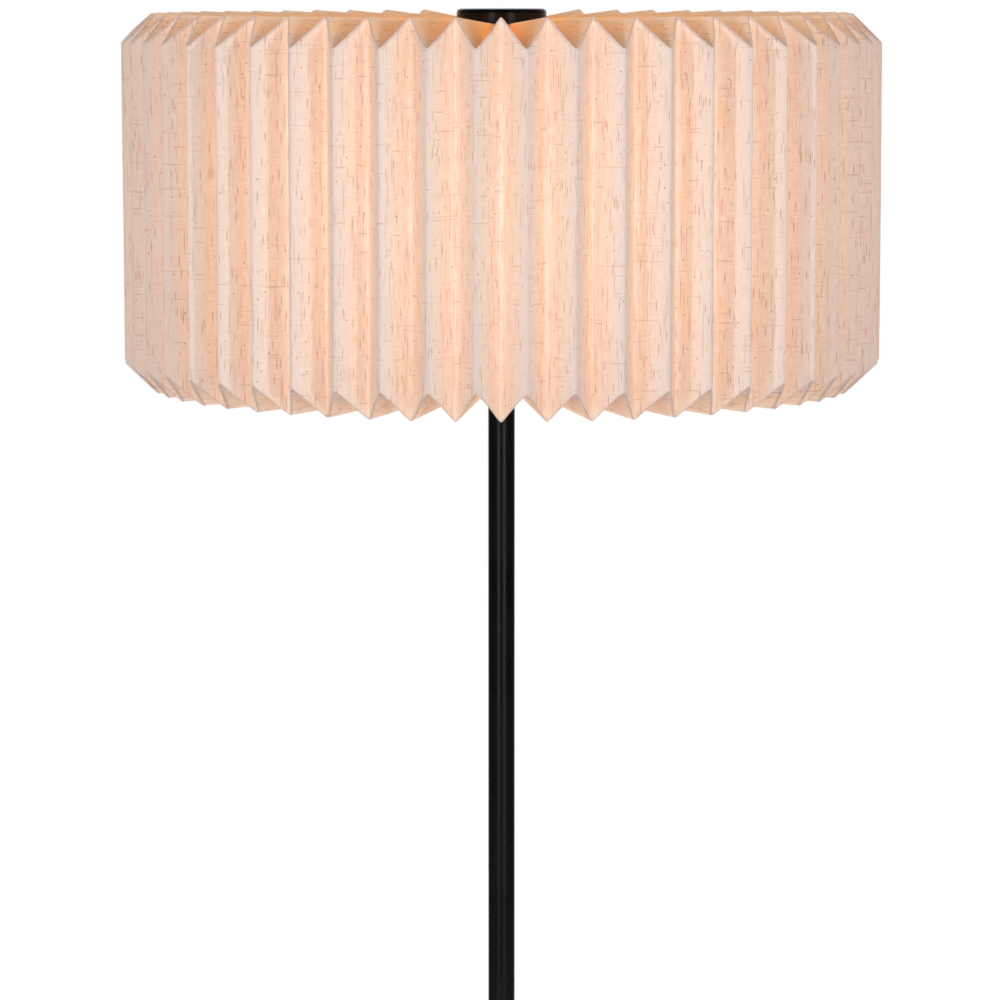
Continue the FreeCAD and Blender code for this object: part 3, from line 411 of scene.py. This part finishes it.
def bulb_glass():
    """Blown soda-lime glass, clear, with faint waves of about 12 mm in its wall."""
    material, tree = blank_material("blown_glass")
    waves = noise(tree, in_place(tree), 12 * MM, 1)
    shader = add(
        tree,
        "ShaderNodeBsdfPrincipled",
        {
            "Base Color": linear("fff6ea"),
            "Roughness": uneven(tree, waves, 0.01, 0.03),
            "IOR": 1.52,
            "Transmission Weight": 1,
        },
    )
    roughened(tree, shader, waves, 0.02 * MM)
    return finished(material, tree, shader)


def lit_filament():
    """Phosphor coated filament rods, lit warm white, with beads of about 1.5 mm."""
    material, tree = blank_material("lit_filament")
    beads = noise(tree, in_place(tree), 1.5 * MM, 1)
    shader = add(
        tree,
        "ShaderNodeBsdfPrincipled",
        {
            "Base Color": linear("ffd28a"),
            "Roughness": 0.5,
            "Emission Color": mixed(tree, beads, "ffb25a", "ffd9a0"),
            "Emission Strength": 6,
        },
    )
    return finished(material, tree, shader)


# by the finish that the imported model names: name, dark, light, roughness, size of the lathe
# rings; or of the mould's texture, with its depth and gloss
FINISHES = {
    "felt": felt(),
    "cast_iron": cast_iron(),
    "black_paint": powder_coat(),
    "zinc_steel": plated_metal("zinc_plated_steel", "8d9094", "b9bcc0", 0.36, 0.4 * MM),
    "brass": plated_metal("turned_brass", "a9803c", "c9a258", 0.3, 0.35 * MM),
    "bulb_metal": plated_metal("nickel_plated_brass", "a8a39a", "cdc8bf", 0.28, 0.4 * MM),
    "solder": plated_metal("tinned_solder", "8b8c8e", "b4b5b6", 0.42, 0.8 * MM),
    "grommet_rubber": moulded("moulded_rubber", "0f0f10", "19191a", 0.62, 0.5 * MM, 0.02 * MM, 0.3),
    "lead_jacket": moulded("extruded_pvc_jacket", "141415", "1e1e1f", 0.5, 0.9 * MM, 0.02 * MM, 0.35),
    "core_jacket": moulded("core_insulation", "6f4a2c", "845a36", 0.45, 0.6 * MM, 0.01 * MM),
    "phenolic": moulded("phenolic_resin", "1d1614", "2b211d", 0.38, 0.35 * MM, 0.015 * MM),
    "fibre_liner": moulded("vulcanised_fibre", "6a4f38", "86664a", 0.7, 0.8 * MM, 0.04 * MM, 0.3),
    "knob_plastic": moulded("black_urea_knob", "101011", "1a1a1b", 0.33, 0.5 * MM, 0.01 * MM, 0.4),
    "hub_plastic": moulded("white_polypropylene", "e4e0d8", "efece6", 0.45, 0.7 * MM, 0.015 * MM),
    "white_wire": moulded("white_dipped_wire", "e3dfd6", "f0ede6", 0.35, 0.9 * MM, 0.015 * MM),
    "nylon": moulded("natural_nylon", "d9d4c6", "e8e4d8", 0.4, 0.5 * MM, 0.01 * MM),
    "black_glass": moulded("black_vitrite", "0b0b0d", "151418", 0.18, 0.8 * MM, 0.01 * MM),
    "shade_paper": washi(),
    "bulb_glass": bulb_glass(),
    "filament": lit_filament(),
}
for cad_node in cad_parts.values():
    for finish in cad_node.material_slots:
        finish.material = FINISHES[finish.material.name.split(".")[0]]


# ---------------------------------------------------------------- making meshes


def grid_mesh(name, points, closed, uv=None):
    """
    A sheet of quads over points[row, column]. Closed joins the last column to the first;
    uv[row, column] then has one more column, so that the pattern has no jump at the join.
    """
    rows, columns = points.shape[:2]
    spans = columns if closed else columns - 1
    row, column = np.meshgrid(np.arange(rows - 1), np.arange(spans), indexing="ij")
    row, column = row.ravel(), column.ravel()
    ahead = (column + 1) % columns
    corners = np.stack(
        [
            row * columns + column,
            row * columns + ahead,
            (row + 1) * columns + ahead,
            (row + 1) * columns + column,
        ],
        axis=1,
    )
    mesh = bpy.data.meshes.new(name)
    mesh.from_pydata(points.reshape(-1, 3).tolist(), [], corners.tolist())
    if uv is not None:
        layer = mesh.uv_layers.new(name="flat_sheet")
        around = ((row, column), (row, column + 1), (row + 1, column + 1), (row + 1, column))
        corner_uv = np.stack([uv[corner] for corner in around], axis=1)
        layer.data.foreach_set("uv", corner_uv.astype(np.float32).ravel())
    mesh.polygons.foreach_set("use_smooth", np.ones(len(corners), bool))
    mesh.update()
    return mesh


def turned_mesh(name, out, up, turn):
    """
    A surface round the axis, whose points lie out from it at the angles turn, and up above
    the floor. Points that fall together are merged: on the axis, or where it meets itself.
    """
    up = np.broadcast_to(up, out.shape)
    mesh = grid_mesh(name, np.stack([out * np.cos(turn), out * np.sin(turn), up], axis=2), True)
    joined = bmesh.new()
    joined.from_mesh(mesh)
    bmesh.ops.remove_doubles(joined, verts=joined.verts, dist=0.001 * MM)
    joined.to_mesh(mesh)
    joined.free()
    return mesh


def full_turn(steps):
    """Angles once round, in radians."""
    return np.linspace(0, 2 * np.pi, steps, endpoint=False)


def piece(name, mesh, body, slot, replaced):
    """Puts a mesh in the scene on a body, with its finish, in place of a CAD node."""
    made = bpy.data.objects.new(name, mesh)
    bpy.context.scene.collection.objects.link(made)
    mesh.materials.append(FINISHES[slot])
    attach(made, body)
    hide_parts(replaced)
    return made


# ---------------------------------------------------------------- the paper sheet

SHADE_TOP = 1.4975
PLEATS = 52
FOLDS = 2 * PLEATS
PANEL = 21.4 * MM  # width of one panel of the flat sheet
FOLD_SHARPNESS = 0.965  # 1 would be a knife fold
# radius and height below the top, in mm, at the hub, both rims and the mouth
INNER_FOLD = [(26.5, -6.5), (208, 0), (208, -221.7), (90, -219.3)]
OUTER_FOLD = [(26.5, -27.9), (225, -16.6), (225, -205.1), (90, -198.6)]
RIMS = (1, 2)  # where these lines turn: at the lid and at the collar
ROWS = (16, 18, 12)  # steps across the lid, the wall and the collar
RIM_ROUND = 1.1 * MM
RIM_STEPS = 4
LID_SHARE = (ROWS[0] + 1.5) / (sum(ROWS) + 2 * RIM_STEPS)  # of the rows, to within the rim
PANEL_STEPS = np.array([0, 0.03, 0.07, 0.13, 0.22, 0.36, 0.5, 0.64, 0.78, 0.87, 0.93, 0.97])

# how far hand folding leaves the sheet out of place
FOLD_SHIFT = 0.22 * MM  # each fold, outwards
FOLD_RISE = 0.3  # share of that shift which also goes upwards
FOLD_TURN = 0.0012  # each fold, in radians round the axis
PANEL_BOW = 0.3 * MM
FOLD_SWAY = 0.16 * MM
SWAY_WAVES = 1.6  # from the hub to the mouth
HELD_SHARE = 0.12  # of the rows at each end, over which the hub and the ring hold it true

CROWD_AT_RIM = 0.3  # how crowded the lid's panels are at its rim
CROWD_REACH = 0.13  # distance inwards from the rim over which they crowd fully


def rounded_line(corners, radius, corner_steps, run_steps):
    """
    Points along a polyline in the (radius, height) plane whose inner corners are rounded:
    each is cut back by radius on both sides and bridged by a quadratic curve. Each run
    between them has its own number of steps.
    """
    corners = np.asarray(corners, float)
    parts = [corners[:1]]
    for index in range(1, len(corners)):
        end = corners[index]
        start = parts[-1][-1]
        last = index == len(corners) - 1
        heading = (end - corners[index - 1]) / np.linalg.norm(end - corners[index - 1])
        stop = end if last else end - heading * radius
        parts.append(start + (stop - start) * np.linspace(0, 1, run_steps[index - 1] + 1)[1:, None])
        if not last:
            onward = (corners[index + 1] - end) / np.linalg.norm(corners[index + 1] - end)
            t = np.linspace(0, 1, corner_steps + 1)[1:, None]
            after = end + onward * radius
            parts.append((1 - t) ** 2 * stop + 2 * t * (1 - t) * end + t**2 * after)
    return np.concatenate(parts)


def length_along(line):
    """Distance along a line from its first point to each of its points."""
    return np.concatenate([[0], np.cumsum(np.linalg.norm(np.diff(line, axis=0), axis=1))])


def out_of_place(phase, share, run):
    """
    How far each point is off outwards, upwards and round the axis: each fold by a random
    shift of its own and a sine sway along its length, each panel by a shallow bow.
    """
    nearest = np.rint(phase).astype(int) % FOLDS
    panel = np.floor(phase).astype(int) % FOLDS
    at_fold = np.abs(2 * share - 1)
    waver = RNG.normal(size=(3, FOLDS))
    bow_size = RNG.normal(size=FOLDS)[panel] * PANEL_BOW
    shift = FOLD_SHIFT * waver[0][nearest] * at_fold
    turn = FOLD_TURN * waver[1][nearest] * at_fold
    sway = FOLD_SWAY * np.sin(2 * np.pi * (SWAY_WAVES * run + waver[2][nearest])) * at_fold
    bow = bow_size * np.sin(np.pi * (phase % 1)) * np.sin(np.pi * run)
    free = np.clip(np.minimum(run, 1 - run) / HELD_SHARE, 0, 1)
    return (shift + bow + sway) * free, FOLD_RISE * shift * free, turn * free


def store_folds(mesh, phase, share, run, radius, down):
    """
    Stores what the paper's finish reads: the share of the way to the outer fold, the mm to
    the nearest fold and to the nearest rim, and how crowded the lid's panels are.
    """
    inner_length, outer_length = length_along(INNER_FOLD), length_along(OUTER_FOLD)
    from_rims = []
    for rim in RIMS:
        at = (1 - share) * inner_length[rim] + share * outer_length[rim]
        from_rims.append(np.abs(down / MM - at) * math.sqrt(0.5))  # a rim slants across a panel
    inwards = (INNER_FOLD[1][0] * MM - radius) / CROWD_REACH
    on_lid = run < LID_SHARE
    values = {
        "fold": share,
        "to_fold": np.abs(phase - np.rint(phase)) * PANEL / MM,
        "to_edge": np.minimum(*from_rims),
        "crowded": np.clip(CROWD_AT_RIM + (1 - CROWD_AT_RIM) * inwards, 0, 1) * on_lid,
    }
    for name, value in values.items():
        layer = mesh.attributes.new(name, "FLOAT", "POINT")
        by_row = np.broadcast_to(value, radius.shape)[::-1]
        layer.data.foreach_set("value", by_row.astype(np.float32).ravel())


def folded_sheet():
    """
    The sheet folded into a drum. Along it, an inner fold and an outer fold each follow a
    line of (radius, height); across a panel the sheet goes from one to the other by a
    triangle wave whose tips are rounded: half plus half the arcsine of k times the sine.
    Each fold is out of place by a fraction of a millimetre, and each panel bows a little.
    """
    inner = rounded_line(np.array(INNER_FOLD) * MM, RIM_ROUND, RIM_STEPS, ROWS)
    outer = rounded_line(np.array(OUTER_FOLD) * MM, RIM_ROUND, RIM_STEPS, ROWS)
    step = np.concatenate([PANEL_STEPS, 1 + PANEL_STEPS])
    phase = (np.arange(PLEATS)[:, None] * 2 + step).ravel()  # in folds, 0 is inner
    wave = np.arcsin(FOLD_SHARPNESS * np.sin(np.pi * (phase - 0.5))) / np.arcsin(FOLD_SHARPNESS)
    share = 0.5 + 0.5 * wave
    run = np.linspace(0, 1, len(inner))[:, None]

    off_out, off_up, off_round = out_of_place(phase, share, run)
    radius = inner[:, :1] * (1 - share) + outer[:, :1] * share + off_out
    height = inner[:, 1:] * (1 - share) + outer[:, 1:] * share + off_up
    angle = np.pi * phase / PLEATS - np.pi / 2 + off_round
    points = np.stack([radius * np.cos(angle), radius * np.sin(angle), SHADE_TOP + height], axis=2)

    share_uv = np.append(share, share[0])
    down = length_along(inner)[:, None] * (1 - share_uv) + length_along(outer)[:, None] * share_uv
    along = np.broadcast_to(np.append(phase, FOLDS) * PANEL, down.shape)
    uv = np.stack([along, down], axis=2)

    # columns run anticlockwise and rows downwards from the hub, so the rows are reversed
    # to face the quads outwards
    mesh = grid_mesh("folded_sheet", points[::-1], True, uv[::-1])
    store_folds(mesh, phase, share, run, radius, down[:, :-1])
    return mesh


paper = piece("paper_shade", folded_sheet(), "shade", "shade_paper", "shade_paper")


# ---------------------------------------------------------------- screw cap and felt pad

THREAD_PITCH = 3.62 * MM
THREAD_DEPTH = 0.95 * MM
THREAD_START = 2 * MM
THREAD_END = 14.5 * MM
THREAD_FADE = 1.5 * MM
CAP_WALL = 0.35 * MM

PAD_RADIUS = 136 * MM
PAD_HALF = 1 * MM  # half its thickness, and the radius of its edge
PAD_RAGGED = 0.0012  # of the radius, along the cut edge


def rolled_screw_cap():
    """
    The bulb's screw cap, a thin tube: going up it, the wall dips inwards by the thread's depth
    times half of one less the cosine of the height in pitches less the turn, and the dip
    fades out at both ends of the thread. The inner side is the outer one, a wall further in.
    """
    low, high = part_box("bulb_cap")
    rise = np.linspace(0, high[2] - low[2], 52)[:, None]
    turn = full_turn(72)
    fade = np.clip(np.minimum(rise - THREAD_START, THREAD_END - rise) / THREAD_FADE, 0, 1)
    winding = 2 * np.pi * rise / THREAD_PITCH - turn
    outer = high[0] - THREAD_DEPTH * fade * (0.5 - 0.5 * np.cos(winding))
    out = np.concatenate([outer, outer[::-1] - CAP_WALL, outer[:1]])
    up = low[2] + np.concatenate([rise, rise[::-1], rise[:1]])
    return turned_mesh("rolled_screw_cap", out, up, turn)


def felt_disc():
    """
    The felt pad: a disc turned from a profile of two flats and a half-round edge, its upper
    face 2 mm above the floor, with a slight unevenness along the cut edge.
    """
    swing = np.linspace(-np.pi / 2, np.pi / 2, 9)
    flat_radius = PAD_RADIUS - PAD_HALF
    edge = np.stack([flat_radius + PAD_HALF * np.cos(swing), PAD_HALF + PAD_HALF * np.sin(swing)], 1)
    across = np.linspace(0, 1, 6)[:, None] * [flat_radius, 0]
    profile = np.concatenate([across[:-1], edge, across[::-1][1:] + [0, 2 * PAD_HALF]])
    turn = full_turn(180)
    ragged = 1 + PAD_RAGGED * np.sin(7 * turn + 1) * np.sin(19 * turn)
    return turned_mesh("felt_disc", profile[:, :1] * ragged, profile[:, 1:], turn)


piece("bulb_screw_cap", rolled_screw_cap(), "bulb", "bulb_metal", "bulb_cap")

pad = piece("felt_pad", felt_disc(), "stand", "felt", "base_pad")


# ---------------------------------------------------------------- floor and world

FLOOR_RADIUS = 2.3
FLOOR_LEVEL = -0.4 * MM  # just below the felt
NEAR_LAMP = 0.4  # from here outwards the floor fades into the backdrop
FAR_FROM_LAMP = 2.1
NEAR_WHITE = 0.6  # share of the backdrop's white in the floor near the lamp

AMBIENT = 0.8  # at the horizon
ZENITH = 0.45
DARK_ROOM = 0.05


def white_to_the_eye(tree):
    """1 for rays that see the backdrop: from the camera, off gloss and through glass."""
    path = add(tree, "ShaderNodeLightPath").outputs
    seen = worked(tree, "MAXIMUM", path["Is Camera Ray"], path["Is Glossy Ray"])
    return worked(tree, "MAXIMUM", seen, path["Is Transmission Ray"])


def pale_floor():
    """Matt board that keeps the lamp's shadow near it, and turns white further out."""
    material, tree = blank_material("pale_floor")
    matt = add(tree, "ShaderNodeBsdfDiffuse", {"Color": linear("f4f3f1")})
    white = add(tree, "ShaderNodeEmission", {"Color": (1, 1, 1, 1), "Strength": 1})
    away = add(tree, "ShaderNodeVectorMath", {0: in_place(tree)}, operation="LENGTH").outputs["Value"]
    far_share = ranged(tree, away, NEAR_LAMP, FAR_FROM_LAMP, NEAR_WHITE, 1, smooth=True)
    share = worked(tree, "MULTIPLY", white_to_the_eye(tree), far_share)
    return finished(material, tree, add(tree, "ShaderNodeMixShader", {0: share, 1: matt, 2: white}))


def studio_room():
    """
    The room's soft light, less overhead than at the horizon. What is seen of it is white. Gloss
    sees the white backdrop behind the lamp, and the dark room on the other sides, while glass
    lets white through from everywhere.
    """
    world = bpy.data.worlds.new("studio")
    world.use_nodes = True
    tree = world.node_tree
    tree.nodes.clear()
    looking = add(tree, "ShaderNodeTexCoord").outputs["Generated"]
    heading = add(tree, "ShaderNodeSeparateXYZ", {0: looking}).outputs
    path = add(tree, "ShaderNodeLightPath").outputs
    soft = ranged(tree, heading["Z"], 0.1, 0.9, AMBIENT, ZENITH)
    off_gloss = worked(tree, "SUBTRACT", path["Is Glossy Ray"], path["Is Transmission Ray"], clamped=True)
    backdrop_side = ranged(tree, heading["Y"], 0.75, 0.9, DARK_ROOM, 1)
    to_eye = ranged(tree, off_gloss, 0, 1, 1, backdrop_side)
    level = ranged(tree, white_to_the_eye(tree), 0, 1, soft, to_eye)
    backdrop = add(tree, "ShaderNodeBackground", {"Color": (1, 1, 1, 1), "Strength": level})
    add(tree, "ShaderNodeOutputWorld", {"Surface": backdrop})
    return world


floor_turn = full_turn(128)
floor_out = np.array([[FLOOR_RADIUS], [0]]) * np.ones(len(floor_turn))
floor = bpy.data.objects.new("floor", turned_mesh("floor", floor_out, FLOOR_LEVEL, floor_turn))
bpy.context.scene.collection.objects.link(floor)
floor.data.materials.append(pale_floor())
bpy.context.scene.world = studio_room()


# ---------------------------------------------------------------- lights

SHADE_MIDDLE = SHADE_TOP - 0.11
DRUM_FRONT = -0.212
LIGHT_DISTANCE = 3.2  # of the studio lights from the lamp's axis

KEY_AZIMUTH = math.radians(33)
KEY_RISE = 0.35  # above the shade's middle
KEY_REACH = 0.62  # how far out each cone's axis crosses the drum's front
KEY_OVERLAP = 0.014  # how far short of the middle each cone starts, so that the two overlap

STRIP_AZIMUTH = math.radians(24)
STRIP_HEIGHT = 1.2
STRIP_TARGET = (0, 0, 1.15)

BULB_LIGHT_DROP = 34 * MM  # from the top of the glass


def aimed(lamp, position, target):
    """Puts a lamp in the scene, pointing at target."""
    made = bpy.data.objects.new(lamp.name, lamp)
    heading = np.array(target, float) - np.array(position, float)
    tilt = math.atan2(math.hypot(heading[0], heading[1]), -heading[2])
    made.location = position
    made.rotation_euler = (tilt, 0, math.atan2(-heading[0], heading[1]))
    bpy.context.scene.collection.objects.link(made)
    return made


def beside_camera(side, azimuth, height):
    """A light's place on the right of the camera for side 1, on the left for -1."""
    return side * LIGHT_DISTANCE * math.sin(azimuth), -LIGHT_DISTANCE * math.cos(azimuth), height


def crossing_key(name, side):
    """
    A spot that lights the far half of the drum: its axis passes outside the drum, and the
    edge of its cone crosses the drum's front just short of the middle.
    """
    key = bpy.data.lights.new(name, "SPOT")
    key.energy = 89
    key.color = (0.94, 0.97, 0.97)
    key.shadow_soft_size = 0.06
    key.spot_blend = 0.12
    position = beside_camera(side, KEY_AZIMUTH, SHADE_MIDDLE + KEY_RISE)
    axis_point = (-side * KEY_REACH, DRUM_FRONT, SHADE_MIDDLE)
    to_axis = np.subtract(axis_point, position)
    to_edge = np.subtract((side * KEY_OVERLAP, DRUM_FRONT, SHADE_MIDDLE), position)
    cosine = to_axis @ to_edge / np.linalg.norm(to_axis) / np.linalg.norm(to_edge)
    key.spot_size = 2 * math.acos(cosine)
    aimed(key, position, axis_point)


def strip_box(name, side):
    """An upright soft box: front light for the paper, and a bright band on the pole."""
    strip = bpy.data.lights.new(name, "AREA")
    strip.shape = "RECTANGLE"
    strip.size = 0.4
    strip.size_y = 1.4
    strip.energy = 7.4
    aimed(strip, beside_camera(side, STRIP_AZIMUTH, STRIP_HEIGHT), STRIP_TARGET)


def bulb_light():
    """The bulb's light, a small ball among its filaments, which rides with it."""
    inside = bpy.data.lights.new("bulb_light", "POINT")
    inside.energy = 1.13
    inside.color = (1, 0.92, 0.93)
    inside.shadow_soft_size = 0.005
    glass_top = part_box("bulb_glass")[1][2]
    glowing = aimed(inside, (0, 0, glass_top - BULB_LIGHT_DROP), (0, 0, 0))
    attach(glowing, "bulb")


crossing_key("right_key", 1)
crossing_key("left_key", -1)
strip_box("right_strip", 1)
strip_box("left_strip", -1)
bulb_light()
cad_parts["bulb_glass"].visible_shadow = False  # clear glass lets the light out
